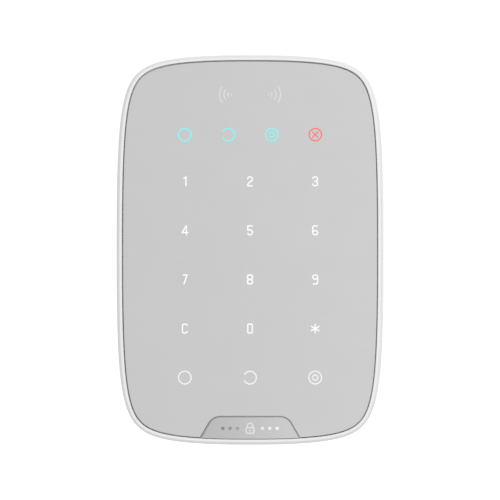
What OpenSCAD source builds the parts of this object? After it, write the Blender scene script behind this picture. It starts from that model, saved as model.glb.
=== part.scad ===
// Wireless alarm keypad panel with card reader, wall mounted, battery powered.
// Frame: origin at the middle of the wall face, +Z up, the front faces -Y, +X to the right. Millimetres.

/* [Body] */
// Overall width
body_w = 113; // [100:1:130]
// Overall height
body_h = 165; // [150:1:180]
// Wall thickness of the front housing
wall = 2.2; // [1.6:0.1:2.2]

/* [Legends] */
// Stroke width of the printed legends
stroke = 0.58; // [0.4:0.01:0.9]
// Stroke width of the round marks
ring_stroke = 0.56; // [0.4:0.01:0.8]
// Height of the digits
digit_h = 4.38; // [3.6:0.01:5.2]
// Distance between key columns
col = 27.6; // [25:0.1:28]
// Distance between key rows
row = 20.78; // [19:0.01:21]

/* [Wall bracket] */
// Distance between the wall screws across
screw_dx = 44; // [40:1:48]
// Distance between the wall screws up and down
screw_dz = 96; // [90:1:98]
// Radius of the wall screw holes
screw_r = 2.2; // [1.8:0.1:2.4]

/* [Cells] */
// Diameter of one cell
cell_d = 16.8; // [16:0.1:16.8]
// Length of one cell
cell_l = 34.5; // [33:0.1:34.5]

/* [Hidden] */
ha = body_w/2;
hb = body_h/2;
NP = 96;
cx = 43.9;      // cell axis, x
cy = -9.72;     // cell axis, y
fy = -19.75;    // panel front face
eps = 0.01;

// outline of the body: a soft rectangle with long, slightly bowed sides
function ept(p) = let (c = cos(p), s = sin(p), u = min(1, s*s))
  [(c < 0 ? -1 : 1)*ha*pow((1 - u)/(1 - 0.85*u), 1/2.465), (s < 0 ? -1 : 1)*hb*pow(u, 1/2.66)];
// the same outline moved inwards by off
function ring(off) = [for (i = [0:NP-1]) let (p = i*360/NP, q = ept(p), d = ept(p + 0.01) - ept(p - 0.01), l = norm(d))
  q - off*[d[1], -d[0]]/l];

// loft through [y, inset] stations, y rising
module loft(pr) {
  s = len(pr);
  pts = [for (k = [0:s-1]) for (q = ring(pr[k][1])) [q[0], pr[k][0], q[1]]];
  side = [for (k = [0:s-2]) for (i = [0:NP-1]) let (j = (i+1)%NP)
    each [[k*NP+i, k*NP+j, (k+1)*NP+j], [k*NP+i, (k+1)*NP+j, (k+1)*NP+i]]];
  polyhedron(pts, concat(side, [[for (i = [NP-1:-1:0]) i]], [[for (i = [0:NP-1]) (s-1)*NP+i]]));
}
// 2D shape drawn as x,z stretched from y0 to y1
module slab(y0, y1) translate([0, y1, 0]) rotate([90, 0, 0]) linear_extrude(y1 - y0) children();
// cylinder along y
module yc(r, y0, y1, x, z, f = 48) translate([x, y1, z]) rotate([90, 0, 0]) cylinder(r = r, h = y1 - y0, $fn = f);
// cone along y, r0 at y0
module ycone(r0, r1, y0, y1, x, z) translate([x, y1, z]) rotate([90, 0, 0]) cylinder(r1 = r1, r2 = r0, h = y1 - y0, $fn = 48);
module zc(r, z0, z1, x, y, f = 48) translate([x, y, z0]) cylinder(r = r, h = z1 - z0, $fn = f);
module box(x0, x1, y0, y1, z0, z1) translate([x0, y0, z0]) cube([x1-x0, y1-y0, z1-z0]);
module rect(w, h) square([w, h], center = true);
module rrect(w, h, r) {
  rect(w - 2*r, h); rect(w, h - 2*r);
  for (i = [-1, 1]) for (j = [-1, 1]) translate([i*(w/2-r), j*(h/2-r)]) circle(r = r, $fn = 48);
}
// coil spring along +z from z = 0, mean radius r, wire radius w
module coil(r, w, turns, h, seg = 14, m = 6) {
  n = ceil(turns*seg);
  pts = [for (i = [0:n]) let (a = 360*turns*i/n, c = w + (h - 2*w)*i/n) for (j = [0:m-1]) let (b = 360*j/m)
    [(r + w*cos(b))*cos(a), (r + w*cos(b))*sin(a), c + w*sin(b)]];
  side = [for (i = [0:n-1]) for (j = [0:m-1]) let (k = (j+1)%m)
    each [[i*m+j, i*m+k, (i+1)*m+k], [i*m+j, (i+1)*m+k, (i+1)*m+j]]];
  polyhedron(pts, concat(side, [[for (j = [m-1:-1:0]) j]], [[for (j = [0:m-1]) n*m+j]]));
}
// round wire along a path that keeps one height
module leg(path, r, m = 8) {
  n = len(path);
  dir = [for (i = [0:n-2]) (path[i+1] - path[i])/norm(path[i+1] - path[i])];
  pts = [for (i = [0:n-1]) let (a = dir[max(0, i-1)], b = dir[min(n-2, i)], t = (a + b)/norm(a + b),
      k = norm(a + b)/2, q = cross(t, [0, 0, 1])/k) for (j = [0:m-1]) let (c = 360*j/m) path[i] + r*(cos(c)*q + sin(c)*[0, 0, 1])];
  side = [for (i = [0:n-2]) for (j = [0:m-1]) let (k = (j+1)%m)
    each [[i*m+j, i*m+k, (i+1)*m+k], [i*m+j, (i+1)*m+k, (i+1)*m+j]]];
  polyhedron(pts, concat(side, [[for (j = [m-1:-1:0]) j]], [[for (j = [0:m-1]) (n-1)*m+j]]));
}

front_prof = [[-20, 1.3], [-19.9, 1.1], [-19.2, 0.58], [-18.5, 0.16], [-17.6, 0.03], [-16, 0], [-11, 0],
  [-8, 0.25], [-6, 0.7], [-5.22, 0.96], [-5, 1.2]];
rear_prof = [[-5, 1.4], [-4.8, 1.16], [-4.2, 1.4], [-2.8, 2.3], [-1.6, 3.5], [-0.8, 4.8], [-0.3, 6.5]];

cells = [[cx, 1], [cx, -1], [-cx, 1], [-cx, -1]];
cover_screw = [40.5, 66.5];
board_screw = [44, 50];
tamper = [0, -18];
power = [0, 40];
hooks = [[20, 34.5], [-20, 34.5], [20, -31.5], [-20, -31.5]];
keys = [for (j = [0:4]) for (i = [-1:1]) [i*col, 29.09 - j*row]];
lamps = [-27.65, -9.2, 9.2, 27.65];
lamp_z = 48.84;

// badge outline grown by g: trapezoid with soft upper corners, open at the bottom
function badge_side(g, sx) = [for (a = sx > 0 ? [90:-7.525:29.8] : [29.8:7.525:90])
  [sx*(12.643 + (5.5 + g)*cos(a)), -76.10 + (5.5 + g)*sin(a)]];
module badge_area(g) {
  r = 5.5 + g;
  k = [12.643 + r*cos(29.8), -76.10 + r*sin(29.8)];
  e = [k[0] + 6*0.497, k[1] - 6*0.868];
  polygon(concat([[-e[0], -84], [-e[0], e[1]]], badge_side(g, -1), badge_side(g, 1), [[e[0], e[1]], [e[0], -84]]));
}
module web_open(g) { rect(100.8 + 2*g, 85 + 2*g); rect(70 + 2*g, 146 + 2*g); }

// ---------------------------------------------------------------- wall bracket
module wall_bracket() color([0.90, 0.90, 0.89]) difference() {
  union() {
    slab(-3, 0) rrect(64, 118, 8);
    for (h = hooks) {
      box(h[0]-4, h[0]+4, -5.4, -2.9, h[1], h[1]+3);
      box(h[0]-4, h[0]+4, -6.6, -5.3, h[1], h[1]+9.5);
    }
  }
  for (i = [-1, 1]) for (j = [-1, 1]) {
    yc(screw_r, -4, 1, i*screw_dx/2, j*screw_dz/2);
    ycone(4.2, screw_r, -3.001, -1, i*screw_dx/2, j*screw_dz/2);
  }
  // wall side recesses between the ribs
  for (i = [-1, 1]) {
    slab(-1.2, 1) translate([i*22.5, 21]) rrect(10, 34, 2);
    slab(-1.2, 1) translate([i*22.5, -19]) rrect(10, 34, 2);
    slab(-1.2, 1) translate([i*7, -45]) rrect(11, 18, 2);
  }
  slab(-1.2, 1) translate([0, 18]) rrect(16, 20, 2);
  slab(-1.2, 1) translate([0, 52]) rrect(26, 8, 2);
  // window for the power button
  yc(4.5, -4, 1, power[0], power[1]);
  // break-away tamper tab: slot with three bridges
  slab(-4, 1) difference() {
    translate([0, -18]) rect(20, 24);
    translate([0, -18]) rect(18, 22);
    translate([0, -6.5]) rect(1.4, 2);
    translate([-9.5, -20]) rect(2, 1.4);
    translate([9.5, -20]) rect(2, 1.4);
  }
  yc(screw_r, -4, 1, 0, -24.5);
  ycone(4.0, screw_r, -3.001, -1, 0, -24.5);
  // ramp followed by the tamper plunger
  translate([-3.2, 0, 0]) rotate([90, 0, 90]) linear_extrude(6.4)
    polygon([[-3.0, -18.9], [-0.956, -8], [-4, -8], [-4, -18.9]]);
}

// ---------------------------------------------------------------- housing
module front_housing() color([0.93, 0.93, 0.92]) difference() {
  union() {
    difference() {
      loft(front_prof);
      slab(-21, -18.1) polygon(ring(2.25));
      slab(-17, -4) polygon(ring(wall + 0.1));
      slab(-19, -16) web_open(0);
    }
    for (i = [-1, 1]) for (j = [-1, 1]) {
      yc(3.4, -17.1, -5.05, i*cover_screw[0], j*cover_screw[1]);
      yc(3.0, -17.1, -16.17, i*board_screw[0], j*board_screw[1]);
    }
  }
  for (i = [-1, 1]) for (j = [-1, 1]) {
    yc(1.5, -15, -5, i*cover_screw[0], j*cover_screw[1]);
    yc(1.25, -17.8, -16, i*board_screw[0], j*board_screw[1]);
  }
}

module rear_cover() color([0.90, 0.90, 0.89]) difference() {
  union() {
    difference() {
      loft(rear_prof);
      slab(-6, -2.8) polygon(ring(3.6));
      slab(-3, -1.2) polygon(ring(5.6));
    }
    slab(-4.9, -1.1) translate([0, -5]) rect(70, 132);
    // locating lip above and below the cells
    slab(-6.5, -4.5) difference() { polygon(ring(2.45)); polygon(ring(3.7)); rect(120, 92); }
    for (h = hooks) box(h[0]-5.6, h[0]+5.6, -7.9, -4.8, h[1]-9.5, h[1]+11.3);
    for (i = [-1, 1]) for (j = [-1, 1]) {
      yc(4.4, -5.0, -1.1, i*cover_screw[0], j*cover_screw[1]);
      box(i > 0 ? 34.9 : -49.5, i > 0 ? 49.5 : -34.9, -5.15, -1.1, j > 0 ? 39.2 : -40.8, j > 0 ? 40.8 : -39.2);
    }
    yc(3.6, -8, -4.8, tamper[0], tamper[1]);
  }
  // seat for the wall bracket, with room to lift
  slab(-3.4, 1) translate([0, -5]) rrect(67, 129, 8.5);
  for (h = hooks) {
    box(h[0]-4.6, h[0]+4.6, -5.5, -3, h[1]-8.3, h[1]+3.3);
    box(h[0]-4.6, h[0]+4.6, -7.0, -4.9, h[1]-8.3, h[1]+10.1);
  }
  for (i = [-1, 1]) for (j = [-1, 1]) {
    yc(1.65, -6, 0, i*cover_screw[0], j*cover_screw[1]);
    yc(3.1, -2.2, 0, i*cover_screw[0], j*cover_screw[1]);
  }
  yc(1.82, -9, -3, tamper[0], tamper[1]);
  yc(3.56, -6, -3, power[0], power[1]);
  // sound holes over the buzzer
  yc(0.7, -6, -3, -20, -56, 24);
  for (a = [0:60:300]) yc(0.7, -6, -3, -20 + 3*cos(a), -56 + 3*sin(a), 24);
}

// ---------------------------------------------------------------- front stack
module touch_panel() color([0.72, 0.73, 0.73]) slab(fy, -18.25) difference() { polygon(ring(2.66)); badge_area(0.25); }
module badge_plate() color([0.70, 0.71, 0.71]) slab(-19.7, -18.25) intersection() { polygon(ring(2.66)); badge_area(-0.25); }
module panel_adhesive() color([0.2, 0.2, 0.2]) slab(-18.25, -18.1) difference() { polygon(ring(2.9)); web_open(0.2); }
module diffuser_sheet() color([0.95, 0.95, 0.93]) slab(-18.2, -17.95) rect(68, 144);
module touch_electrodes() color([0.80, 0.50, 0.25]) for (k = keys)
  slab(-17.93, -17.83) translate(k) difference() { circle(r = 7.4, $fn = 48); circle(r = 4.4, $fn = 48); }
module light_mask() color([0.92, 0.92, 0.90]) slab(-17.8, -16.2) difference() {
  translate([0, -3.5]) rect(67, 117);
  for (k = keys) translate(k) circle(r = 4.2, $fn = 48);
  for (x = lamps) translate([x, lamp_z]) circle(r = 3.7, $fn = 48);
}

// ---------------------------------------------------------------- printed legends, on the panel face
// outline of a stroke along a path, mitred joints and round ends
function turn(v) = [-v[1], v[0]];
function side_pts(path, o) = let (n = len(path), d = [for (i = [0:n-2]) (path[i+1] - path[i])/norm(path[i+1] - path[i])])
  [for (i = [0:n-1]) let (a = turn(d[max(0, i-1)]), b = turn(d[min(n-2, i)]), m = a + b) path[i] + 2*o*m/(m*m)];
function tip(p, v, r) = let (a = atan2(v[1], v[0])) [for (i = [60, 30, 0, -30, -60]) p + r*[cos(a + i), sin(a + i)]];
module line(path, w = stroke) {
  n = len(path); o = w/2; l = side_pts(path, o); r = side_pts(path, -o);
  polygon(concat(l, tip(path[n-1], path[n-1] - path[n-2], o), [for (i = [n-1:-1:0]) r[i]], tip(path[0], path[0] - path[1], o)));
}
function bow(c, r, a0, a1) = [for (i = [0:16]) let (a = a0 + (a1-a0)*i/16) c + r*[cos(a), sin(a)]];
module loop(path_in, path_out) polygon(concat(path_in, path_out),
  [[for (i = [0:len(path_in)-1]) i], [for (i = [0:len(path_out)-1]) len(path_in) + i]]);
function oval(r, s) = concat([for (a = [0:15:180]) [r*cos(a), s + r*sin(a)]], [for (a = [180:15:360]) [r*cos(a), -s + r*sin(a)]]);
module ro(r) difference() { circle(r = r + ring_stroke/2, $fn = 64); circle(r = r - ring_stroke/2, $fn = 64); }
module open_ro(r, a) line(bow([0, 0], r, -a, a), ring_stroke);
function bowe(c, rx, rz, a0, a1) = [for (i = [0:16]) let (a = a0 + (a1-a0)*i/16) c + [rx*cos(a), rz*sin(a)]];
function rr(a, b, r) = [for (q = [0:3]) for (i = [0:5]) let (t = q*90 + i*18) [(q == 0 || q == 3 ? 1 : -1)*(a-r) + r*cos(t), (q < 2 ? 1 : -1)*(b-r) + r*sin(t)]];
module glyph(g) {
  h = (digit_h - stroke)/2; k = stroke/2; v = h/2;
  if (g == 0) loop(rr(0.95 + k, h + k, 0.55 + k), rr(0.95 - k, h - k, 0.28));
  if (g == 1) line([[-0.36, h-0.6], [0.48, h], [0.48, -h]]);
  if (g == 2) line(concat(bow([0, h-0.98], 0.98, 172, -40), [[-0.55, -0.72], [-0.92, -1.25], [-0.95, -h], [0.92, -h]]));
  if (g == 3) { line(bowe([0, v], 1.02, v, 168, -100)); line(bowe([0, -v], 1.02, v, 100, -168)); }
  if (g == 4) { line([[0.58, h], [-1.13, -0.92], [1.27, -0.92]]); line([[0.68, h], [0.68, -h]], 0.5); }
  if (g == 5) line(concat([[0.97, h], [-0.92, h], [-0.95, 0.22]], bowe([0, -0.83], 1.0, h-0.83, 120, -155)));
  if (g == 6) {
    translate([0, 0.87-h]) loop(bowe([0, 0], 1.04 + k, 0.87 + k, 0, 337.5), bowe([0, 0], 1.04 - k, 0.87 - k, 0, 337.5));
    line(concat([[-1.03, 0.87-h]], bow([-0.33, h-0.7], 0.7, 180, 90), [[0.85, h]]));
  }
  if (g == 7) line([[-0.7, h], [0.93, h], [-0.36, -h]]);
  if (g == 8) for (s = [-1, 1]) translate([0, s*v]) loop(rr(1.04 + k, v + k - 0.01, 0.92), rr(1.04 - k, 0.58, 0.42));
  if (g == 9) rotate(180) glyph(6);
  if (g == 10) line(concat(bow([0.3, h-0.72], 0.72, 10, 90), bow([-0.28, h-0.72], 0.72, 90, 180), bow([-0.28, 0.72-h], 0.72, 180, 270), bow([0.3, 0.72-h], 0.72, 270, 350)));
  if (g == 11) { line([[0, -1.72], [0, 1.72]]); for (a = [30, 150]) line([-1.82*[cos(a), sin(a)], 1.82*[cos(a), sin(a)]]); }
}
order = [1, 2, 3, 4, 5, 6, 7, 8, 9, 10, 0, 11];
module print(y = 0.05) slab(fy - y, fy) children();
module key_legends() color([1, 1, 1]) print() for (i = [0:11]) translate(keys[i]) glyph(order[i]);
module function_legends() color([1, 1, 1]) print() {
  translate(keys[12]) ro(2.68);
  translate(keys[13]) open_ro(2.68, 148);
  translate(keys[14]) { ro(2.68); open_ro(1.1, 162); }
}
module status_legends() color([0.4, 0.93, 0.93]) print() {
  translate([lamps[0], lamp_z]) ro(2.66);
  translate([lamps[1], lamp_z]) open_ro(2.66, 148);
  translate([lamps[2], lamp_z]) { ro(2.64); open_ro(1.1, 156); }
}
module fault_legend() color([1, 0.5, 0.52]) print() translate([lamps[3], lamp_z]) {
  ro(2.62);
  line([[-1.15, -1.15], [1.15, 1.15]], 0.5); line([[-1.15, 1.15], [1.15, -1.15]], 0.5);
}
module reader_marks() color([0.86, 0.86, 0.86]) print() for (s = [-1, 1]) {
  translate([s*7.95, 65.83]) circle(r = 0.36, $fn = 24);
  for (q = [[7.95, 1.42, 36], [7.9, 3.12, 38], [6.98, 5.92, 34]])
    line(bow([s*q[0], 65.83], q[1], s > 0 ? -q[2] : 180 - q[2], s > 0 ? q[2] : 180 + q[2]), 0.5);
}
// generic mark on the badge: a padlock between rows of dots
module badge_mark() color([0.60, 0.60, 0.60]) slab(-19.76, -19.7) {
  for (s = [-1, 1]) for (x = [5.3, 8.4, 11.5]) translate([s*x, -75.5]) circle(r = 0.72, $fn = 32);
  translate([0, -76.4]) {
    loop(rr(1.95, 1.45, 0.5), rr(1.4, 0.9, 0.2));
    circle(r = 0.42, $fn = 24);
    line(concat([[-1.15, 1.3]], bow([0, 1.95], 1.15, 180, 0), [[1.15, 1.3]]), 0.55);
  }
}

// ---------------------------------------------------------------- board
module main_board() color([0.10, 0.38, 0.22]) slab(-16.15, -15.15) difference() {
  union() {
    rect(67.2, 144);
    intersection() { polygon(ring(4.5)); translate([0, 61.5]) rect(120, 36); }
    intersection() { polygon(ring(4.5)); translate([0, -61.5]) rect(120, 36); }
  }
  for (i = [-1, 1]) for (j = [-1, 1]) {
    translate([i*cover_screw[0], j*cover_screw[1]]) circle(r = 3.8, $fn = 48);
    translate([i*board_screw[0], j*board_screw[1]]) circle(r = 1.5, $fn = 48);
  }
}
module key_backlight_leds() color([0.98, 0.96, 0.80]) for (k = keys)
  box(k[0]-0.8, k[0]+0.8, -16.75, -16.15, k[1]-0.4, k[1]+0.4);
module status_leds() color([0.85, 0.97, 0.97]) for (x = lamps)
  box(x-0.8, x+0.8, -16.75, -16.15, lamp_z-0.8, lamp_z+0.8);
module ferrite_sheet() color([0.15, 0.15, 0.16]) slab(-16.45, -16.15) translate([0, 64]) rect(64, 16);
// flat rectangular spiral
module reader_antenna() color([0.80, 0.50, 0.25]) slab(-16.7, -16.45) translate([0, 64]) for (k = [0:4]) {
  a = 30 - k*1.4; b = 7 - k*1.0;
  translate([-a, b-0.5]) square([2*a, 0.5]);
  translate([a-0.5, -b]) square([0.5, 2*b]);
  translate([-a, -b]) square([2*a, 0.5]);
  translate([-a, -b]) square([0.5, 2*b-1.0]);
  if (k < 4) translate([-a, b-1.5]) square([1.9, 0.5]);
}
module reader_chip() color([0.13, 0.13, 0.14]) difference() { box(-22, -15, -15.15, -14.25, 50, 57); yc(0.4, -14.35, -14, -21, 56, 24); }
module microcontroller() color([0.13, 0.13, 0.14]) difference() { box(-18, -8, -15.15, -14.15, 6, 16); yc(0.5, -14.25, -14, -17, 15, 24); }
module radio_shield_can() color([0.78, 0.79, 0.80]) difference() {
  slab(-15.15, -12.15) translate([18, 54]) rrect(24, 18, 1);
  slab(-15.2, -12.45) translate([18, 54]) rrect(23.4, 17.4, 0.8);
  for (i = [-1:1]) for (j = [-1, 1]) yc(0.7, -13, -12, 18 + i*7, 54 + j*5.5, 24);
}
module radio_antenna() color([0.85, 0.70, 0.35]) {
  translate([-30, -11.6, 74]) rotate([0, 90, 0]) coil(2.4, 0.4, 8, 22, 14, 6);
  translate([-29.6, 0, 0]) yc(0.4, -15.15, -11.6, 0, 71.6, 24);
}
module crystals() color([0.80, 0.80, 0.78]) {
  slab(-15.15, -14.25) translate([-2, 12]) rrect(5, 3.2, 0.6);
  slab(-15.15, -13.65) translate([-8, 53]) rrect(4.4, 10.4, 2.1);
}
module small_components() color([0.55, 0.45, 0.34]) {
  for (i = [0:5]) box(-19 + i*2.4, -17.6 + i*2.4, -15.15, -14.6, 19, 19.8);
  for (i = [0:4]) box(-21, -20.2, -15.15, -14.6, 6.2 + i*2.2, 7.6 + i*2.2);
  for (i = [0:5]) box(6 + i*3.2, 7.6 + i*3.2, -15.15, -14.3, 40.6, 41.6);
  for (i = [0:4]) box(-26 + i*2.6, -24.4 + i*2.6, -15.15, -14.5, 60, 60.9);
  for (i = [0:6]) box(8 + i*2.6, 9.4 + i*2.6, -15.15, -14.6, -60, -59.2);
  for (i = [0:2]) yc(3.1, -15.15, -9.6, 12 + i*8, -52, 48);
  box(8, 20, -15.15, -12.6, -6, -1);
}
module buzzer() color([0.16, 0.16, 0.17]) difference() { yc(6.5, -15.15, -10.4, -20, -56); yc(1.1, -11.4, -10, -20, -56); }
module tamper_switch() color([0.20, 0.20, 0.22]) { box(-3.1, 3.1, -15.15, -13.15, tamper[1]-3.1, tamper[1]+3.1); yc(1.3, -13.2, -12.65, tamper[0], tamper[1]); }
module power_switch() color([0.20, 0.20, 0.22]) { box(-3, 3, -15.15, -12.65, power[1]-3, power[1]+3); yc(1.6, -12.7, -12.1, power[0], power[1]); }

// ---------------------------------------------------------------- moving pins
module tamper_plunger() color([0.85, 0.86, 0.86]) {
  translate([tamper[0], -4.693, tamper[1]]) sphere(r = 1.75, $fn = 48);
  yc(1.75, -9.95, -4.693, tamper[0], tamper[1]);
  yc(2.8, -10.7, -9.9, tamper[0], tamper[1]);
  yc(1.4, -12.55, -10.65, tamper[0], tamper[1]);
}
module tamper_spring() color([0.75, 0.76, 0.78]) translate([tamper[0], -10.75, tamper[1]]) rotate([90, 0, 0]) coil(2.2, 0.18, 4, 2.35, 16, 6);
module power_button() color([0.45, 0.46, 0.48]) {
  yc(3.5, -5.05, -3.35, power[0], power[1]);
  yc(4.6, -6.0, -5.0, power[0], power[1]);
  yc(1.6, -11.45, -5.95, power[0], power[1]);
}

// ---------------------------------------------------------------- power
module tray(sx) scale([1, 1, 1]) difference() {
  union() {
    box(sx > 0 ? 34.2 : -53.3, sx > 0 ? 53.3 : -34.2, -15.5, -5.2, -41.5, 41.5);
    for (z = [-40, -32, 29, 37]) box(sx > 0 ? 51.2 : -53.2, sx > 0 ? 53.2 : -51.2, -17, -15.4, z, z+3);
  }
  zc(cell_d/2 + 0.15, -38.9, 38.9, sx*cx, cy, 64);
  // slots for the contact plates and their tabs
  box(sx*cx-7.6, sx*cx+7.6, -14.9, -4, -0.35, 0.35);
  box(sx > 0 ? 33 : -38, sx > 0 ? 38 : -33, -8.3, -4, -0.45, 0.45);
  for (z = [38.15, -38.75]) box(sx > 0 ? 33 : -38, sx > 0 ? 38 : -33, -8.3, -4, z, z+0.6);
}
module battery_tray_right() color([0.25, 0.26, 0.28]) tray(1);
module battery_tray_left() color([0.25, 0.26, 0.28]) tray(-1);
module cell(sx, sz) translate([sx*cx, cy, 0]) scale([1, 1, 1]) mirror([0, 0, sz < 0 ? 1 : 0]) rotate_extrude($fn = 64)
  polygon([[0, 1], [3, 1], [3, 2], [7.4, 2], [7.9, 2.15], [cell_d/2, 2.7], [cell_d/2, 0.4 + cell_l], [cell_d/2 - 0.6, 1 + cell_l], [0, 1 + cell_l]]);
module cell_upper_right() color([0.30, 0.45, 0.62]) cell(1, 1);
module cell_lower_right() color([0.30, 0.45, 0.62]) cell(1, -1);
module cell_upper_left() color([0.30, 0.45, 0.62]) cell(-1, 1);
module cell_lower_left() color([0.30, 0.45, 0.62]) cell(-1, -1);
module battery_contacts() color([0.82, 0.80, 0.72]) for (s = [-1, 1]) {
  box(s*cx-7.2, s*cx+7.2, -14.6, -5.4, -0.3, 0.3);
  zc(2.6, -0.9, 0.9, s*cx, cy, 32);
  box(s > 0 ? 33.7 : -37.5, s > 0 ? 37.5 : -33.7, -8, -6, -0.3, 0.3);
  for (z = [38.2, -38.6]) {
    box(s*cx-5, s*cx+5, -14.2, -5.4, z, z+0.4);
    box(s > 0 ? 33.7 : -40, s > 0 ? 40 : -33.7, -8, -6, z, z+0.4);
  }
}
module battery_springs() color([0.78, 0.79, 0.80]) for (s = [-1, 1]) for (j = [0, 1])
  translate([s*cx, cy, 0]) mirror([0, 0, j]) translate([0, 0, 35.6]) coil(3.0, 0.32, 3, 2.55, 14, 6);
module battery_leads_red() color([0.72, 0.10, 0.10]) for (s = [-1, 1])
  leg([[s*33.4, -7, 0], [s*31.5, -7.6, 0], [s*30.8, -9, 0], [s*30.8, -15.15, 0]], 0.6);
module battery_leads_black() color([0.12, 0.12, 0.12]) for (s = [-1, 1]) for (z = [38.4, -38.4])
  leg([[s*33.4, -7, z], [s*31.5, -7.6, z], [s*30.8, -9, z], [s*30.8, -15.15, z]], 0.6);

// ---------------------------------------------------------------- fasteners and label
module cover_screws() color([0.72, 0.73, 0.75]) for (i = [-1, 1]) for (j = [-1, 1]) difference() {
  union() {
    yc(2.8, -2.2, -0.7, i*cover_screw[0], j*cover_screw[1]);
    yc(1.45, -12.5, -2.15, i*cover_screw[0], j*cover_screw[1]);
  }
  for (a = [0, 90]) translate([i*cover_screw[0], -1.0, j*cover_screw[1]]) rotate([0, a, 0]) cube([3.2, 1.2, 0.7], center = true);
}
module board_screws() color([0.72, 0.73, 0.75]) for (i = [-1, 1]) for (j = [-1, 1]) difference() {
  union() {
    yc(2.5, -15.15, -13.6, i*board_screw[0], j*board_screw[1]);
    yc(1.2, -17.7, -15.1, i*board_screw[0], j*board_screw[1]);
  }
  for (a = [0, 90]) translate([i*board_screw[0], -13.8, j*board_screw[1]]) rotate([0, a, 0]) cube([2.8, 1.2, 0.6], center = true);
}
module rear_label() color([0.96, 0.96, 0.95]) slab(-3.4, -3.32) translate([0, 11]) rrect(44, 22, 2);

/* [Hidden] */
wall_bracket();
rear_cover();
front_housing();
touch_panel();
badge_plate();
panel_adhesive();
diffuser_sheet();
touch_electrodes();
light_mask();
key_legends();
function_legends();
status_legends();
fault_legend();
reader_marks();
badge_mark();
main_board();
key_backlight_leds();
status_leds();
ferrite_sheet();
reader_antenna();
reader_chip();
microcontroller();
radio_shield_can();
radio_antenna();
crystals();
small_components();
buzzer();
tamper_switch();
power_switch();
tamper_plunger();
tamper_spring();
power_button();
battery_tray_right();
battery_tray_left();
cell_upper_right();
cell_lower_right();
cell_upper_left();
cell_lower_left();
battery_contacts();
battery_springs();
battery_leads_red();
battery_leads_black();
cover_screws();
board_screws();
rear_label();
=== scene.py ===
import math

import bmesh
import bpy
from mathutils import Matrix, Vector


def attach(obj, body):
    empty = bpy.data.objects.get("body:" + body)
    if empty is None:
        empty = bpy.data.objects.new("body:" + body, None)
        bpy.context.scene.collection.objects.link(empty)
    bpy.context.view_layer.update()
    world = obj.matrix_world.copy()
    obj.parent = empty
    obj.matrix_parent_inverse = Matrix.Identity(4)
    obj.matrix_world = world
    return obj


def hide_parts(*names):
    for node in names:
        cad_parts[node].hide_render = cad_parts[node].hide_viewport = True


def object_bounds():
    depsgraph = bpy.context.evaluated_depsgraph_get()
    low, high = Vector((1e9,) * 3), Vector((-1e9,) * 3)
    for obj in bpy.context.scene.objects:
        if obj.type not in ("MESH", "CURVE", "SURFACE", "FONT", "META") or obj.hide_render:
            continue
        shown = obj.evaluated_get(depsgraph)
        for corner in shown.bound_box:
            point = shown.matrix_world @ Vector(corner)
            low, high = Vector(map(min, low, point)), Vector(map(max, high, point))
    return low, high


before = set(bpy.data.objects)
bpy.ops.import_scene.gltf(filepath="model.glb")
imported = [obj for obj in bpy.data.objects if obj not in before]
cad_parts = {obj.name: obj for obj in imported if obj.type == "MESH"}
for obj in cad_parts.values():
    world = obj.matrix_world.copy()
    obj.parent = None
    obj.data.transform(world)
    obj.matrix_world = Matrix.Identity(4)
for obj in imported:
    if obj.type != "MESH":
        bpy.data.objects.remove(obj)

cad_lo, cad_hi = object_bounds()
MM = 0.001
scene = bpy.context.scene

# ------------------------------------------------------------------ outline
HA, HB = 56.5, 82.5


def ept(p):
    c, s = math.cos(math.radians(p)), math.sin(math.radians(p))
    u = min(1.0, s * s)
    return Vector((math.copysign(HA * ((1 - u) / (1 - 0.85 * u)) ** (1 / 2.465), c),
                   math.copysign(HB * u ** (1 / 2.66), s)))


def rpt(p, off, corner=0.0):
    """Point of the outline at parameter p, moved inwards by off, in mm; corner adds to it in the corners."""
    q = min(p % 180.0, 180.0 - p % 180.0)
    off += corner * max(0.0, 1 - abs(q - 62.0) / 26.0) ** 0.7
    d = ept(p + 0.01) - ept(p - 0.01)
    n = Vector((d.y, -d.x)).normalized()
    return ept(p) - n * off


def warp(t):
    """Spreads the parameter so that the long sides and the ends get short steps."""
    q = (t % 90.0) / 90.0
    k = 0.5 - 0.5 * math.copysign(abs(math.cos(math.pi * q)) ** 0.8, math.cos(math.pi * q))
    return math.floor(t / 90.0) * 90.0 + 90.0 * (0.35 * q + 0.65 * k)


N = 480
PARAM = [warp(i * 360.0 / N) for i in range(N)]


def ring(off, params=PARAM):
    return [rpt(p, off) for p in params]


def catmull(pts, n=5):
    """Smooth curve through 2D points."""
    out = []
    for i in range(len(pts) - 1):
        p0, p1, p2, p3 = pts[max(0, i - 1)], pts[i], pts[i + 1], pts[min(len(pts) - 1, i + 2)]
        for j in range(n):
            t = j / n
            out.append(tuple(0.5 * (2 * p1[k] + (p2[k] - p0[k]) * t + (2 * p0[k] - 5 * p1[k] + 4 * p2[k] - p3[k]) * t * t
                                    + (3 * p1[k] - p0[k] - 3 * p2[k] + p3[k]) * t ** 3) for k in (0, 1)))
    out.append(tuple(pts[-1]))
    return out


def arc2(cy, ci, r, a0, a1, n=6):
    """Arc in the (y, inset) section plane."""
    return [(cy + r * math.cos(math.radians(a0 + (a1 - a0) * i / n)), ci + r * math.sin(math.radians(a0 + (a1 - a0) * i / n)))
            for i in range(n + 1)]


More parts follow.
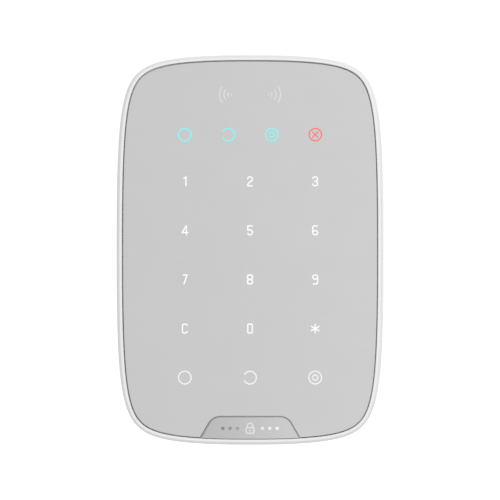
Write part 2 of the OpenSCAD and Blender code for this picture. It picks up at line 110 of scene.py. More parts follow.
# ------------------------------------------------------------------ mesh helpers
def obj_from(name, verts, faces, mat=None, body="keypad", sharp=32, slot=None, replaces=()):
    me = bpy.data.meshes.new(name)
    me.from_pydata([tuple(c * MM for c in v) for v in verts], [], faces)
    bm = bmesh.new()
    bm.from_mesh(me)
    bmesh.ops.remove_doubles(bm, verts=bm.verts, dist=1e-7)
    bmesh.ops.recalc_face_normals(bm, faces=bm.faces)
    bm.to_mesh(me)
    bm.free()
    for p in me.polygons:
        p.use_smooth = True
    me.set_sharp_from_angle(angle=math.radians(sharp))
    o = bpy.data.objects.new(name, me)
    scene.collection.objects.link(o)
    if mat:
        me.materials.append(mat)
    if body:
        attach(o, body)
    if replaces:
        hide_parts(*replaces)
    return o


def grid_faces(n, s, wrap_s, base=0):
    f = []
    for k in range(s if wrap_s else s - 1):
        a, b = base + k * n, base + ((k + 1) % s) * n
        for i in range(n):
            j = (i + 1) % n
            f.append((a + i, a + j, b + j, b + i))
    return f


def loft_rings(rings, ys, caps=(True, True)):
    """rings: lists of 2D points, ys: their y."""
    n = len(rings[0])
    verts = [(q[0], y, q[1]) for r, y in zip(rings, ys) for q in r]
    faces = grid_faces(n, len(rings), False)
    if caps[0]:
        faces.append(tuple(range(n - 1, -1, -1)))
    if caps[1]:
        faces.append(tuple(range((len(rings) - 1) * n, len(rings) * n)))
    return verts, faces


def join(parts):
    verts, faces = [], []
    for v, f in parts:
        b = len(verts)
        verts += v
        faces += [tuple(b + i for i in q) for q in f]
    return verts, faces


def tube_y(r_out, r_in, y0, y1, x, z, n=40):
    """Hollow cylinder along y."""
    ring_o = [(x + r_out * math.cos(2 * math.pi * i / n), z + r_out * math.sin(2 * math.pi * i / n)) for i in range(n)]
    ring_i = [(x + r_in * math.cos(2 * math.pi * i / n), z + r_in * math.sin(2 * math.pi * i / n)) for i in range(n)]
    verts = [(q[0], y, q[1]) for r, y in ((ring_o, y0), (ring_o, y1), (ring_i, y1), (ring_i, y0)) for q in r]
    return verts, grid_faces(n, 4, True)


# ------------------------------------------------------------------ materials
def nodes_of(name):
    m = bpy.data.materials.new(name)
    m.use_nodes = True
    nt = m.node_tree
    nt.nodes.clear()
    out = nt.nodes.new("ShaderNodeOutputMaterial")
    b = nt.nodes.new("ShaderNodeBsdfPrincipled")
    nt.links.new(b.outputs[0], out.inputs[0])
    return m, nt, b


def coords(nt, scale=(1, 1, 1)):
    tc = nt.nodes.new("ShaderNodeTexCoord")
    mp = nt.nodes.new("ShaderNodeMapping")
    mp.inputs["Scale"].default_value = scale
    nt.links.new(tc.outputs["Object"], mp.inputs["Vector"])
    return mp.outputs["Vector"]


def noise(nt, vec, scale, detail=2.0, rough=0.5):
    n = nt.nodes.new("ShaderNodeTexNoise")
    n.inputs["Scale"].default_value = scale
    n.inputs["Detail"].default_value = detail
    n.inputs["Roughness"].default_value = rough
    nt.links.new(vec, n.inputs["Vector"])
    return n.outputs["Fac"]


def remap(nt, val, lo, hi, f0=0.3, f1=0.7):
    n = nt.nodes.new("ShaderNodeMapRange")
    n.inputs["From Min"].default_value = f0
    n.inputs["From Max"].default_value = f1
    n.inputs["To Min"].default_value = lo
    n.inputs["To Max"].default_value = hi
    nt.links.new(val, n.inputs["Value"])
    return n.outputs["Result"]


def mixc(nt, fac, a, b):
    n = nt.nodes.new("ShaderNodeMix")
    n.data_type = "RGBA"
    n.inputs["A"].default_value = (*a, 1)
    n.inputs["B"].default_value = (*b, 1)
    nt.links.new(fac, n.inputs["Factor"])
    return n.outputs["Result"]


def scaled(c, k):
    return tuple(min(1.0, v * k) for v in c)


def plastic(name, color, rough=0.45, grain=5200, bump=0.25, depth=0.00003, vary=0.02, rvary=0.05, coat=0.0, spec=0.5,
            emit=None, emit_strength=0.0, edge_lift=0.0, scuff=0.0, painted_sheen=None, scale=(1, 1, 1), metallic=0.0, smear=60):
    """Moulded plastic: fine grain in the surface, slow drift in colour and roughness, edges a touch lighter, faint rubbed patches."""
    m, nt, b = nodes_of(name)
    v = coords(nt, scale)
    slow = noise(nt, v, smear, 3.0, 0.55)
    fine = noise(nt, v, grain, 2.0, 0.6)
    speck = noise(nt, v, grain * 0.35, 4.0, 0.6)
    col = mixc(nt, remap(nt, slow, 0, 1), scaled(color, 1 - vary), scaled(color, 1 + vary))
    # convex edges a touch lighter, by curvature (Pointiness)
    if edge_lift:
        g = nt.nodes.new("ShaderNodeNewGeometry")
        w = remap(nt, g.outputs["Pointiness"], 0, edge_lift, 0.5, 0.58)
        mx = nt.nodes.new("ShaderNodeMix")
        mx.data_type = "RGBA"
        nt.links.new(w, mx.inputs["Factor"])
        nt.links.new(col, mx.inputs["A"])
        mx.inputs["B"].default_value = (*scaled(color, 1.12), 1)
        col = mx.outputs["Result"]
    if painted_sheen:   # painted sheen and shade: tone lighter towards the right, where the light falls (half width in mm, tone at the left, tone at the right)
        sep = nt.nodes.new("ShaderNodeSeparateXYZ")
        nt.links.new(v, sep.inputs[0])
        mx = nt.nodes.new("ShaderNodeMix")
        mx.data_type = "RGBA"
        mx.blend_type = "MULTIPLY"
        mx.clamp_result = False
        mx.inputs["Factor"].default_value = 1.0
        nt.links.new(col, mx.inputs["A"])
        nt.links.new(remap(nt, sep.outputs["X"], painted_sheen[1], painted_sheen[2], -painted_sheen[0] * MM, painted_sheen[0] * MM), mx.inputs["B"])
        col = mx.outputs["Result"]
    rgh = remap(nt, speck, rough - rvary, rough + rvary)
    if scuff:
        patch = remap(nt, noise(nt, v, 240, 6.0, 0.62), 0, scuff, 0.56, 0.70)
        mx = nt.nodes.new("ShaderNodeMix")
        mx.data_type = "RGBA"
        nt.links.new(patch, mx.inputs["Factor"])
        nt.links.new(col, mx.inputs["A"])
        mx.inputs["B"].default_value = (*scaled(color, 0.88), 1)
        col = mx.outputs["Result"]
        rg = nt.nodes.new("ShaderNodeMath")
        rg.operation = "MULTIPLY_ADD"
        rg.inputs[1].default_value = 0.35
        nt.links.new(patch, rg.inputs[0])
        nt.links.new(rgh, rg.inputs[2])
        rgh = rg.outputs[0]
    nt.links.new(col, b.inputs["Base Color"])
    nt.links.new(rgh, b.inputs["Roughness"])
    bp = nt.nodes.new("ShaderNodeBump")
    bp.inputs["Strength"].default_value = bump
    bp.inputs["Distance"].default_value = depth
    nt.links.new(fine, bp.inputs["Height"])
    nt.links.new(bp.outputs[0], b.inputs["Normal"])
    b.inputs["Specular IOR Level"].default_value = spec
    b.inputs["Metallic"].default_value = metallic
    if coat:
        b.inputs["Coat Weight"].default_value = coat
        b.inputs["Coat Roughness"].default_value = 0.12
    if emit:
        b.inputs["Emission Color"].default_value = (*emit, 1)
        b.inputs["Emission Strength"].default_value = emit_strength
    return m


def metal(name, color, rough=0.3, grain=900, stretch=(1, 1, 1), bump=0.15):
    return plastic(name, color, rough, grain, bump, 0.00001, 0.05, 0.08, metallic=1.0, scale=stretch, smear=200)


def shaded(name, left, right, half, rough=0.45):
    """Colour that goes from one grey to another along x, dark on the left and light on the right."""
    m, nt, b = nodes_of(name)
    v = coords(nt)
    sep = nt.nodes.new("ShaderNodeSeparateXYZ")
    nt.links.new(v, sep.inputs[0])
    t = remap(nt, sep.outputs["X"], 0, 1, -half * MM, half * MM)
    speck = noise(nt, v, 2600, 3.0, 0.6)
    add = nt.nodes.new("ShaderNodeMath")
    add.operation = "ADD"
    nt.links.new(t, add.inputs[0])
    nt.links.new(remap(nt, speck, -0.03, 0.03), add.inputs[1])
    ramp = nt.nodes.new("ShaderNodeValToRGB")
    el = ramp.color_ramp.elements
    el[0].position, el[0].color = 0.0, (*left, 1)
    el[1].position, el[1].color = 1.0, (*right, 1)
    for pos, k in ((0.32, 1.5), (0.41, 3.15)):
        e = el.new(pos)
        e.color = (*scaled(left, k), 1)
    nt.links.new(add.outputs[0], ramp.inputs["Fac"])
    nt.links.new(ramp.outputs["Color"], b.inputs["Base Color"])
    nt.links.new(remap(nt, speck, rough - 0.04, rough + 0.04), b.inputs["Roughness"])
    bp = nt.nodes.new("ShaderNodeBump")
    bp.inputs["Strength"].default_value = 0.05
    bp.inputs["Distance"].default_value = 0.00001
    nt.links.new(speck, bp.inputs["Height"])
    nt.links.new(bp.outputs[0], b.inputs["Normal"])
    return m


M = {
    "housing": plastic("housing_white_satin", (0.85, 0.85, 0.845), 0.36, 5200, 0.10, 0.00002, 0.008, 0.05, coat=0.15, edge_lift=0.5),
    # panel and badge carry a painted sheen: their colour grows lighter from left to right, as the light falls from the
    # right
    "panel": plastic("panel_grey_matt", (0.600, 0.600, 0.600), 0.55, 7000, 0.12, 0.000015, 0.008, 0.05, spec=0.35, painted_sheen=(53, 0.972, 1.028)),
    "badge": plastic("badge_grey_satin", (0.545, 0.545, 0.545), 0.34, 7000, 0.06, 0.00001, 0.008, 0.04, spec=0.45, painted_sheen=(17, 0.91, 1.10)),
    "rear": plastic("rear_white_textured", (0.78, 0.78, 0.77), 0.5, 2600, 0.35, 0.00005, 0.015, 0.06, scuff=0.3),
    "bracket": plastic("bracket_white_textured", (0.70, 0.70, 0.69), 0.52, 2400, 0.35, 0.00005, 0.015, 0.06, scuff=0.35),
    "white_lit": plastic("legend_white_lit", (0.90, 0.905, 0.905), 0.5, 7000, 0.05, 0.00001, 0.01, 0.03, emit=(1, 1, 1), emit_strength=0.095),
    "cyan_lit": plastic("legend_cyan_lit", (0.215, 0.76, 0.77), 0.5, 7000, 0.05, 0.00001, 0.01, 0.03, emit=(0.12, 0.92, 0.93), emit_strength=0.18),
    "red_lit": plastic("legend_red_lit", (0.80, 0.168, 0.188), 0.5, 7000, 0.05, 0.00001, 0.01, 0.03, emit=(1.0, 0.11, 0.13), emit_strength=0.18),
    "pale": plastic("mark_pale", (0.742, 0.737, 0.737), 0.5, 7000, 0.05, 0.00001, 0.01, 0.03),
    "white_dim": plastic("legend_white_soft", (0.84, 0.83, 0.83), 0.5, 7000, 0.05, 0.00001, 0.01, 0.03, emit=(1, 0.99, 0.99), emit_strength=0.08),
    "mark": shaded("badge_mark_grey", (0.235, 0.24, 0.245), (0.93, 0.93, 0.93), 12.0),
    "foam": plastic("foam_black", (0.03, 0.03, 0.03), 0.9, 1800, 0.6, 0.0001, 0.2, 0.05),
    "film": plastic("film_white", (0.85, 0.85, 0.83), 0.4, 5000, 0.1, 0.00002, 0.01, 0.05),
    "board": plastic("board_green", (0.02, 0.16, 0.06), 0.35, 1200, 0.1, 0.00002, 0.15, 0.08, coat=0.3),
    "copper": metal("copper_foil", (0.80, 0.42, 0.22), 0.35),
    "chip": plastic("chip_black", (0.02, 0.02, 0.022), 0.55, 4000, 0.3, 0.00003, 0.1, 0.06),
    "tin": metal("tinned_steel", (0.72, 0.73, 0.74), 0.32, 600),
    "gold": metal("gold_wire", (0.85, 0.62, 0.25), 0.25),
    "ceramic": plastic("ceramic_brown", (0.30, 0.20, 0.12), 0.5, 3000, 0.2, 0.00002, 0.15, 0.06),
    "black": plastic("moulded_black", (0.025, 0.025, 0.027), 0.48, 3600, 0.25, 0.00003, 0.08, 0.06),
    "pin": plastic("pin_white", (0.70, 0.70, 0.69), 0.42, 3600, 0.15, 0.00002, 0.02, 0.05),
    "button": plastic("button_grey", (0.16, 0.17, 0.18), 0.5, 3200, 0.35, 0.00004, 0.04, 0.06, scuff=0.4),
    "tray": plastic("tray_dark", (0.05, 0.055, 0.06), 0.5, 2600, 0.3, 0.00004, 0.06, 0.06),
    "wrap": plastic("cell_sleeve", (0.06, 0.13, 0.26), 0.28, 1500, 0.08, 0.00002, 0.04, 0.05, coat=0.3),
    "nickel": metal("nickel_plate", (0.78, 0.75, 0.66), 0.22),
    "red_wire": plastic("lead_red", (0.45, 0.02, 0.02), 0.45, 3000, 0.1, 0.00002, 0.05, 0.05),
    "black_wire": plastic("lead_black", (0.015, 0.015, 0.015), 0.45, 3000, 0.1, 0.00002, 0.05, 0.05),
    "zinc": metal("zinc_plate", (0.68, 0.69, 0.71), 0.3, 1600),
    "label": plastic("label_paper", (0.80, 0.80, 0.79), 0.6, 2500, 0.2, 0.00002, 0.02, 0.05),
    "lamp": plastic("lamp_yellow", (0.85, 0.75, 0.30), 0.3, 3000, 0.1, 0.00001, 0.05, 0.05),
}
CAD_MAT = {
    "wall_bracket": "bracket", "rear_cover": "rear", "front_housing": "housing", "touch_panel": "panel", "badge_plate": "badge",
    "panel_adhesive": "foam", "diffuser_sheet": "film", "touch_electrodes": "copper", "light_mask": "film",
    "key_legends": "white_lit", "function_legends": "white_lit", "status_legends": "cyan_lit", "fault_legend": "red_lit",
    "reader_marks": "pale", "badge_mark": "mark", "main_board": "board", "key_backlight_leds": "lamp", "status_leds": "lamp", "ferrite_sheet": "chip",
    "reader_antenna": "copper", "reader_chip": "chip", "microcontroller": "chip", "radio_shield_can": "tin",
    "radio_antenna": "gold", "crystals": "tin", "small_components": "ceramic", "buzzer": "black", "tamper_switch": "black",
    "power_switch": "black", "tamper_plunger": "pin", "tamper_spring": "tin", "power_button": "button",
    "battery_tray_right": "tray", "battery_tray_left": "tray", "cell_upper_right": "wrap", "cell_lower_right": "wrap",
    "cell_upper_left": "wrap", "cell_lower_left": "wrap", "battery_contacts": "nickel", "battery_springs": "tin",
    "battery_leads_red": "red_wire", "battery_leads_black": "black_wire", "cover_screws": "zinc", "board_screws": "zinc",
    "rear_label": "label",
}
for node_name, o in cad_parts.items():
    for s in o.material_slots:
        s.material = M[CAD_MAT[node_name]]

# ------------------------------------------------------------------ soft edges and smooth curves on the pieces that show
def smooth_by_angle(name, angle):
    """Geometry nodes: all faces smooth, edges sharper than the angle stay sharp."""
    g = bpy.data.node_groups.new(name, "GeometryNodeTree")
    g.interface.new_socket("Geometry", in_out="INPUT", socket_type="NodeSocketGeometry")
    g.interface.new_socket("Geometry", in_out="OUTPUT", socket_type="NodeSocketGeometry")
    gi, go = g.nodes.new("NodeGroupInput"), g.nodes.new("NodeGroupOutput")
    ea = g.nodes.new("GeometryNodeInputMeshEdgeAngle")
    cmp_ = g.nodes.new("FunctionNodeCompare")
    cmp_.data_type = "FLOAT"
    cmp_.operation = "LESS_EQUAL"
    cmp_.inputs[1].default_value = math.radians(angle)
    faces = g.nodes.new("GeometryNodeSetShadeSmooth")
    faces.domain = "FACE"
    edges = g.nodes.new("GeometryNodeSetShadeSmooth")
    edges.domain = "EDGE"
    plain = g.nodes.new("GeometryNodeRemoveAttribute")
    plain.inputs["Name"].default_value = "custom_normal"
    g.links.new(gi.outputs[0], plain.inputs["Geometry"])
    g.links.new(plain.outputs[0], faces.inputs["Geometry"])
    g.links.new(faces.outputs[0], edges.inputs["Geometry"])
    g.links.new(ea.outputs[0], cmp_.inputs[0])
    g.links.new(cmp_.outputs[0], edges.inputs["Shade Smooth"])
    g.links.new(edges.outputs[0], go.inputs[0])
    return g


SMOOTH = smooth_by_angle("smooth_by_angle", 34)


def soften(node_name, width, segments=3):
    """Join the seams of the imported mesh, shade its curves smooth and round its sharp edges, flat faces staying flat."""
    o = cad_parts[node_name]
    wd = o.modifiers.new("join_seams", "WELD")
    wd.merge_threshold = 2e-7
    gn = o.modifiers.new("smooth_by_angle", "NODES")
    gn.node_group = SMOOTH
    bv = o.modifiers.new("soft_edges", "BEVEL")
    bv.width = width * MM
    bv.segments = segments
    bv.limit_method = "ANGLE"
    bv.angle_limit = math.radians(50)
    bv.use_clamp_overlap = True
    bv.harden_normals = True


for node_name, width in (("wall_bracket", 0.25), ("rear_cover", 0.2), ("power_button", 0.22), ("tamper_plunger", 0.12), ("cover_screws", 0.06)):
    soften(node_name, width)

# ------------------------------------------------------------------ front housing
outer = catmull([(-5.25, 0.96), (-6, 0.70), (-8, 0.25), (-11, 0.0), (-16, 0.0), (-17.6, 0.03), (-18.5, 0.16), (-19.2, 0.58),
                 (-19.82, 1.05)], 4) + [(-19.9, 1.12), (-19.96, 1.2), (-20, 1.32)]
outer = [(max(-20.0, y), max(0.0, i)) for y, i in outer]
section = ([(-5.0, 2.3), (-5.0, 1.25), (-5.06, 1.08)] + outer + arc2(-19.8, 1.99, 0.20, 180, 90, 5)
           + [(-19.1, 2.37), (-18.5, 2.43), (-18.1, 2.46), (-17.62, 2.48), (-17.62, 3.1), (-18.1, 3.2), (-18.1, 6.0), (-17.0, 6.0), (-17.0, 2.3)])
rings = [[rpt(p, i, 0.16 * max(0.0, 1 - i / 2.0)) for p in PARAM] for _, i in section]
for (y, i), r in zip(section, rings):   # the gap to the panel is a touch wider along the top
    if 1.9 < i < 3 and y < -17.4:
        for q in r:
            q.y += 0.16 * min(1.0, max(0.0, (q.y - 62) / 16))
verts = [(q[0], y, q[1]) for (y, _), r in zip(section, rings) for q in r]
shell = (verts, grid_faces(N, len(section), True))
bosses = [tube_y(3.4, 1.5, -17.0, -5.05, sx * 40.5, sz * 66.5) for sx in (-1, 1) for sz in (-1, 1)]
bosses += [tube_y(3.0, 1.25, -17.0, -16.17, sx * 44, sz * 50) for sx in (-1, 1) for sz in (-1, 1)]
obj_from("front_housing_shell", *join([shell] + bosses), mat=M["housing"], slot="housing_white", replaces=["front_housing"])

# ------------------------------------------------------------------ touch panel and badge
K_COS, K_SIN = math.cos(math.radians(29.8)), math.sin(math.radians(29.8))


def badge_arc(g, n=14):
    """Right upper corner of the badge, from the top round to the slanted side."""
    r = 5.5 + g
    return [Vector((12.643 + r * math.cos(math.radians(90 - 60.2 * i / n)), -76.10 + r * math.sin(math.radians(90 - 60.2 * i / n))))
            for i in range(n + 1)]


def meet(inset, g):
    """Parameter at which the outline meets the slanted side on the right."""
    def f(p):
        q = rpt(p, inset)
        return (q.x - 12.643) * K_COS + (q.y + 76.10) * K_SIN - (5.5 + g)
    a, b = 271.0, 300.0
    for _ in range(60):
        m = (a + b) / 2
        if f(m) > 0:
            b = m
        else:
            a = m
    return (a + b) / 2


def span(a, b, n):
    """n+1 parameters from a to b, close together where the outline runs fast."""
    return [warp_between(a, b, i / n) for i in range(n + 1)]


def warp_between(a, b, t):
    # inverse search on warp so that both ends are hit exactly
    lo, hi = unwarp(a), unwarp(b)
    return warp(lo + (hi - lo) * t)


def unwarp(p):
    a, b = p - 60, p + 60
    for _ in range(60):
        m = (a + b) / 2
        if warp(m) < p:
            a = m
        else:
            b = m
    return (a + b) / 2


def notch_side(q, g):
    """From the outline point q up the right slanted side, over the corner, to the top centre."""
    arc = badge_arc(g)[::-1]
    pts = [q + (arc[0] - q) * t for t in (0, 0.33, 0.66)]
    top = arc[-1]
    return pts + arc + [Vector((top.x * t, top.y)) for t in (0.75, 0.5, 0.25, 0.0)]


def panel_outline(inset, g, n=460):
    pr = meet(inset, g)
    body = [rpt(p, inset, 0.13) for p in span(pr, 540 - pr + 360 - 0.0, n)]
    for q in body:                              # and along the sides
        q.x += 0.08 * min(1.0, max(0.0, (-45 - q.x) / 8)) - 0.04 * min(1.0, max(0.0, (q.x - 45) / 8))
    right = notch_side(body[0], g)              # q .. top centre
    left = [Vector((-p.x, p.y)) for p in right]  # mirrored
    return body + left[1:] + right[-2:0:-1]


def badge_outline(inset, g, n=60):
    pr = meet(inset, g)
    low = [rpt(p, inset) for p in span(540 - pr, pr, n)]
    right = notch_side(low[-1], g)
    left = [Vector((-p.x, p.y)) for p in right]
    pts = low + right[1:] + left[-2:0:-1]
    for q in pts:                               # the groove is a touch wider on the left
        q.x += 0.13 * min(1.0, max(0.0, (-8 - q.x) / 6))
    return pts


def plate(outline, inset, g, sgn, y_front, y_back, edge, name, flange=None, **kw):
    """Flat plate with a rounded front edge; sgn is the direction in which the notch side moves inwards."""
    st = [(y_back, 0.0, 0.0), (y_front + edge, 0.0, 0.0)]
    if flange:   # a step along the notch side: (grown by, y of the step)
        st = [(y_back, 0.0, flange[0]), (flange[1] + 0.06, 0.0, flange[0]), (flange[1], 0.0, flange[0] - 0.05), (flange[1], 0.0, 0.0),
              (y_front + edge, 0.0, 0.0)]
    for k in range(1, 6):
        a = math.radians(90 * k / 5)
        e = edge * (1 - math.cos(a))
        st.append((y_front + edge * (1 - math.sin(a)), e, sgn * e))
    st.append((y_front, edge + 0.6, sgn * (edge + 0.6)))
    rings = [outline(inset + e, g + f) for _, e, f in st]
    st = [(y, e) for y, e, _ in st]
    v, f = loft_rings(rings, [y for y, _ in st])
    return obj_from(name, v, f, **kw)


plate(panel_outline, 2.68, 0.30, 1, -19.75, -18.25, 0.14, "touch_panel_sheet", mat=M["panel"], slot="panel_grey", replaces=["touch_panel"])
plate(badge_outline, 2.50, -0.34, -1, -19.72, -18.25, 0.12, "badge_insert", flange=(0.56, -18.90), mat=M["badge"], slot="badge_grey", replaces=["badge_plate"])

# ------------------------------------------------------------------ legends
STROKE = 0.58
FACE = -19.75


def unit(v):
    return v.normalized()


def stroke(path, w=STROKE):
    """Outline of a stroke with mitred joints and round ends."""
    p = [Vector(q) for q in path]
    n = len(p)
    d = [unit(p[i + 1] - p[i]) for i in range(n - 1)]
    nl = [Vector((-q.y, q.x)) for q in d]
    o = w / 2

    def side(s):
        out = []
        for i in range(n):
            m = nl[max(0, i - 1)] + nl[min(n - 2, i)]
            out.append(p[i] + m * (2 * s * o / m.dot(m)))
        return out

    def tip(c, v):
        a = math.atan2(v.y, v.x)
        return [c + Vector((math.cos(a + math.radians(t)), math.sin(a + math.radians(t)))) * o for t in range(75, -76, -15)]

    left, right = side(1), side(-1)
    return left + tip(p[-1], d[-1]) + right[::-1] + tip(p[0], -d[0])


def bow(cx, cz, r, a0, a1, n=None):
    n = n or max(8, int(abs(a1 - a0) / 5))
    return [(cx + r * math.cos(math.radians(a0 + (a1 - a0) * i / n)), cz + r * math.sin(math.radians(a0 + (a1 - a0) * i / n)))
            for i in range(n + 1)]


def oval(r, s, n=24):
    return [Vector(q) for q in bow(0, s, r, 0, 180, n) + bow(0, -s, r, 180, 360, n)]


def solid(loop, at, h):
    """Prism of one outline, h proud of the panel."""
    q = [v + Vector(at) for v in loop]
    return loft_rings([q, q], [FACE - h, FACE + 0.02])


def hollow(out, inn, at, h):
    a, b = [v + Vector(at) for v in out], [v + Vector(at) for v in inn]
    verts = [(v.x, y, v.y) for r, y in ((a, FACE + 0.02), (a, FACE - h), (b, FACE - h), (b, FACE + 0.02)) for v in r]
    return verts, grid_faces(len(a), 4, True)


def bowe(cx, cz, rx, rz, a0, a1):
    n = max(10, int(abs(a1 - a0) / 6))
    return [(cx + rx * math.cos(math.radians(a0 + (a1 - a0) * i / n)), cz + rz * math.sin(math.radians(a0 + (a1 - a0) * i / n)))
            for i in range(n + 1)]


def rr(a, b, r):
    """Rounded rectangle, half sizes a and b."""
    out = []
    for q in range(4):
        cx, cz = (a - r) * (1 if q in (0, 3) else -1), (b - r) * (1 if q < 2 else -1)
        out += [Vector(v) for v in bow(cx, cz, r, q * 90, q * 90 + 90, 8)]
    return out


H = (4.38 - STROKE) / 2
U, K = H / 2, STROKE / 2


def glyph(g, at, flip=1):
    h0, h1 = 0.030, 0.036
    f = (lambda pts: [(q[0] * flip, q[1] * flip) for q in pts])
    S = lambda pts, h=h0, w=STROKE: solid(stroke(f(pts), w), at, h)
    if g == 0:
        return [hollow(rr(0.95 + K, H + K, 0.55 + K), rr(0.95 - K, H - K, 0.28), at, h0)]
    if g == 1:
        return [S([(-0.36, H - 0.6), (0.48, H), (0.48, -H)])]
    if g == 2:
        return [S(bow(0, H - 0.98, 0.98, 172, -40) + [(-0.55, -0.72), (-0.92, -1.25), (-0.95, -H), (0.92, -H)])]
    if g == 3:
        return [S(bowe(0, U, 1.02, U, 168, -100)), S(bowe(0, -U, 1.02, U, 100, -168), h1)]
    if g == 4:
        return [S([(0.58, H), (-1.13, -0.92), (1.27, -0.92)]), S([(0.68, H), (0.68, -H)], h1, 0.5)]
    if g == 5:
        return [S([(0.97, H), (-0.92, H), (-0.95, 0.22)] + bowe(0, -0.83, 1.0, H - 0.83, 120, -155))]
    if g == 6:
        c = (at[0], at[1] + flip * (0.87 - H))
        ring_o = [Vector(q) for q in bowe(0, 0, 1.04 + K, 0.87 + K, 0, 352.5)]
        ring_i = [Vector(q) for q in bowe(0, 0, 1.04 - K, 0.87 - K, 0, 352.5)]
        return [hollow(ring_o, ring_i, c, h0), S([(-1.03, 0.87 - H)] + bow(-0.33, H - 0.7, 0.7, 180, 90, 10) + [(0.85, H)], h1)]
    if g == 7:
        return [S([(-0.7, H), (0.93, H), (-0.36, -H)])]
    if g == 8:
        return [hollow(rr(1.04 + K, U + K - 0.01, 0.92), rr(1.04 - K, 0.58, 0.42), (at[0], at[1] + s * U), h)
                for s, h in ((-1, h0), (1, h1))]
    if g == 9:
        return glyph(6, at, -1)
    if g == 10:
        return [S(bow(0.3, H - 0.72, 0.72, 10, 90, 8) + bow(-0.28, H - 0.72, 0.72, 90, 180, 8) + bow(-0.28, 0.72 - H, 0.72, 180, 270, 8)
                  + bow(0.3, 0.72 - H, 0.72, 270, 350, 8))]
    return [S([(0, -1.72), (0, 1.72)])] + [
        S([(-1.82 * math.cos(math.radians(a)), -1.82 * math.sin(math.radians(a))),
           (1.82 * math.cos(math.radians(a)), 1.82 * math.sin(math.radians(a)))], h) for a, h in ((30, h1), (150, 0.042))]


def circle_ring(r, at, w=0.56, h=0.03):
    return hollow(oval(r + w / 2, 0, 48), oval(r - w / 2, 0, 48), at, h)


def open_ring(r, at, a, w=0.56, h=0.03):
    return solid(stroke(bow(0, 0, r, -a, a), w), at, h)


KEYS = [(i * 27.6, 29.09 - j * 20.78) for j in range(5) for i in (-1, 0, 1)]
ORDER = [1, 2, 3, 4, 5, 6, 7, 8, 9, 10, 0, 11]
LAMPS = [(x, 48.84) for x in (-27.65, -9.2, 9.2, 27.65)]
parts = [p for k, g in zip(KEYS, ORDER) for p in glyph(g, k)]
obj_from("digit_legends", *join(parts), mat=M["white_lit"], slot="legend_white", replaces=["key_legends"])
parts = [circle_ring(2.68, KEYS[12]), open_ring(2.68, KEYS[13], 148), circle_ring(2.68, KEYS[14]), open_ring(1.1, KEYS[14], 162)]
obj_from("arming_legends", *join(parts), mat=M["white_dim"], slot="legend_white", replaces=["function_legends"])
parts = [circle_ring(2.66, LAMPS[0]), open_ring(2.66, LAMPS[1], 148), circle_ring(2.64, LAMPS[2]), open_ring(1.1, LAMPS[2], 151)]
obj_from("state_legends", *join(parts), mat=M["cyan_lit"], slot="legend_cyan", replaces=["status_legends"])
x_bars = [solid(stroke([(-1.15, -1.15 * s), (1.15, 1.15 * s)], 0.5), LAMPS[3], h) for s, h in ((1, 0.03), (-1, 0.036))]
obj_from("fault_mark", *join([circle_ring(2.62, LAMPS[3])] + x_bars), mat=M["red_lit"], slot="legend_red", replaces=["fault_legend"])
parts = []
for s in (-1, 1):
    dot = [Vector(q) for q in bow(0, 0, 0.36, 0, 345, 23)]
    parts.append(solid(dot, (s * 7.95, 65.83), 0.02))
    for cx, r, half in ((7.95, 1.42, 36), (7.9, 3.12, 38), (6.98, 5.92, 34)):
        mid = 0 if s > 0 else 180
        parts.append(solid(stroke(bow(0, 0, r, mid - half, mid + half), 0.5), (s * cx, 65.83), 0.02))
obj_from("reader_waves", *join(parts), mat=M["pale"], slot="legend_pale", replaces=["reader_marks"])

# a plain padlock between rows of dots, darker on the left than on the right
FACE = -19.72
parts = [hollow(rr(1.95, 1.45, 0.5), rr(1.4, 0.9, 0.2), (0, -76.4), 0.02),
         solid([Vector(q) for q in bow(0, 0, 0.42, 0, 345, 23)], (0, -76.4), 0.02),
         solid(stroke([(-1.15, 1.3)] + bow(0, 1.95, 1.15, 180, 0, 24) + [(1.15, 1.3)], 0.55), (0, -76.4), 0.026)]
parts += [solid([Vector(q) for q in bow(0, 0, 0.72, 0, 350, 35)], (s * x, -75.5), 0.02) for s in (-1, 1) for x in (5.3, 8.4, 11.5)]
obj_from("badge_symbol", *join(parts), mat=M["mark"], slot="mark_grey", replaces=["badge_mark"])

# ------------------------------------------------------------------ camera, lights, floor
cam = bpy.data.cameras.new("camera")
cam.lens = 800
cam.sensor_width = 36
cam_o = bpy.data.objects.new("camera", cam)
scene.collection.objects.link(cam_o)
dist = 0.21204 / 36 * 800
cam_o.location = (0, -0.0125 - dist, 0)
cam_o.rotation_euler = (math.radians(90), 0, 0)
cam.clip_start, cam.clip_end = 0.05, 60
scene.camera = cam_o


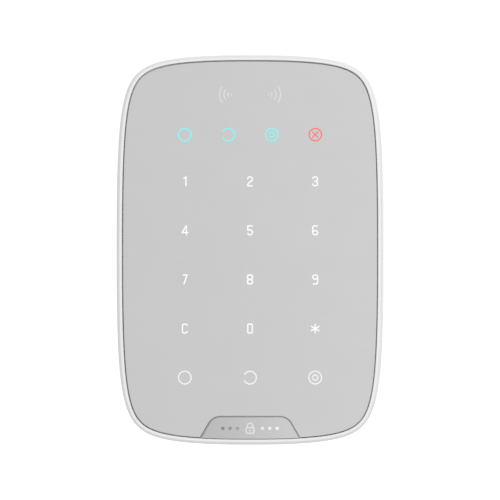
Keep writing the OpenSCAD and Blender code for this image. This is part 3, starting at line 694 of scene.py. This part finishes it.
def area(name, loc, target, size, power, color=(1, 1, 1)):
    li = bpy.data.lights.new(name, "AREA")
    li.shape = "RECTANGLE"
    li.size, li.size_y = size
    li.energy = power
    li.color = color
    o = bpy.data.objects.new(name, li)
    scene.collection.objects.link(o)
    o.location = loc
    o.rotation_euler = (Vector(target) - Vector(loc)).to_track_quat("-Z", "Y").to_euler()
    return o


area("key_soft", (0.72, -2.0, 0.78), (0, 0, 0), (1.1, 1.1), 19.5).visible_glossy = False
area("back_soft", (0.95, 1.25, 1.05), (0, 0, 0), (0.7, 0.7), 11).visible_glossy = False

area("low_fill", (-0.45, -1.1, -1.3), (0, 0, 0), (1.0, 1.0), 2.2).visible_glossy = False

w = bpy.data.worlds.new("studio")
scene.world = w
w.use_nodes = True
nt = w.node_tree
nt.nodes.clear()
out = nt.nodes.new("ShaderNodeOutputWorld")
mixs = nt.nodes.new("ShaderNodeMixShader")
lp = nt.nodes.new("ShaderNodeLightPath")
b1 = nt.nodes.new("ShaderNodeBackground")
b2 = nt.nodes.new("ShaderNodeBackground")
b1.inputs["Color"].default_value = (1, 1, 1, 1)
b1.inputs["Strength"].default_value = 0.64
b2.inputs["Color"].default_value = (1, 1, 1, 1)
b2.inputs["Strength"].default_value = 1.05
nt.links.new(lp.outputs["Is Camera Ray"], mixs.inputs[0])
nt.links.new(b1.outputs[0], mixs.inputs[1])
nt.links.new(b2.outputs[0], mixs.inputs[2])
nt.links.new(mixs.outputs[0], out.inputs[0])

me = bpy.data.meshes.new("floor")
s = 3.0
fz = cad_lo.z - 0.0006
me.from_pydata([(-s, -s, fz), (s, -s, fz), (s, s, fz), (-s, s, fz)], [], [(0, 1, 2, 3)])
floor = bpy.data.objects.new("floor", me)
scene.collection.objects.link(floor)
me.materials.append(plastic("floor_pale", (0.86, 0.86, 0.86), 0.8, 300, 0.1, 0.0001, 0.005, 0.03, spec=0.1,
                            emit=(1, 1, 1), emit_strength=0.50))
floor.visible_diffuse = False
floor.visible_glossy = False
floor.visible_shadow = False
scene.view_settings.view_transform = "Standard"
scene.view_settings.look = "None"
